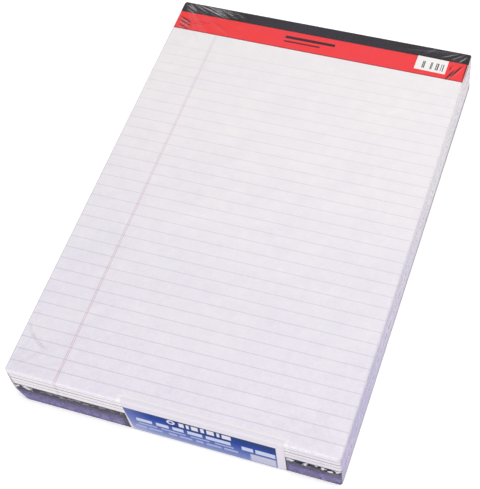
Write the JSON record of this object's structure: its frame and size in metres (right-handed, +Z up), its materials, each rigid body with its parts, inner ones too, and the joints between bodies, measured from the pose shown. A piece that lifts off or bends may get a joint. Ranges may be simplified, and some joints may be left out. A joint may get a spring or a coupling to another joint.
{
  "type": "pack of legal pads",
  "caption": "Film-wrapped pack of ruled white writing pads, head to foot, with black bound heads, red header strips and an end label.",
  "frame": {"origin": "centre of the underside of the wrapped pack, on the surface that it stands on", "axes": "+X across the pads to the right, +Y along the pads towards the head of the top pad, +Z up out of the top page"},
  "size_m": [0.2106, 0.3176, 0.0333],
  "materials": {
    "white_paper": "uncoated white writing paper, ruled",
    "grey_board": "unbleached chipboard",
    "red_strip": "printed red, slight gloss",
    "black_tape": "black embossed binding tape",
    "clear_film": "clear glossy shrink film",
    "printed_label": "white label printed with a blue field",
    "white_sticker": "matt white with dark bars"
  },
  "bodies": {
    "root": {"pad_01_sheets": "white_paper", "pad_01_backing_board": "grey_board", "pad_01_header_strip": "red_strip", "pad_01_binding_tape": "black_tape", "pad_02_sheets": "white_paper", "pad_02_backing_board": "grey_board", "pad_02_header_strip": "red_strip", "pad_02_binding_tape": "black_tape", "pad_03_sheets": "white_paper", "pad_03_backing_board": "grey_board", "pad_03_header_strip": "red_strip", "pad_03_binding_tape": "black_tape", "pad_04_sheets": "white_paper", "pad_04_backing_board": "grey_board", "pad_04_header_strip": "red_strip", "pad_04_binding_tape": "black_tape", "pad_05_sheets": "white_paper", "pad_05_backing_board": "grey_board", "pad_05_header_strip": "red_strip", "pad_05_binding_tape": "black_tape", "pad_06_sheets": "white_paper", "pad_06_backing_board": "grey_board", "pad_06_header_strip": "red_strip", "pad_06_binding_tape": "black_tape", "pad_07_sheets": "white_paper", "pad_07_backing_board": "grey_board", "pad_07_header_strip": "red_strip", "pad_07_binding_tape": "black_tape", "pad_08_sheets": "white_paper", "pad_08_backing_board": "grey_board", "pad_08_header_strip": "red_strip", "pad_08_binding_tape": "black_tape", "shrink_film": "clear_film", "end_label": "printed_label", "bar_sticker": "white_sticker"}
  },
  "joints": []
}
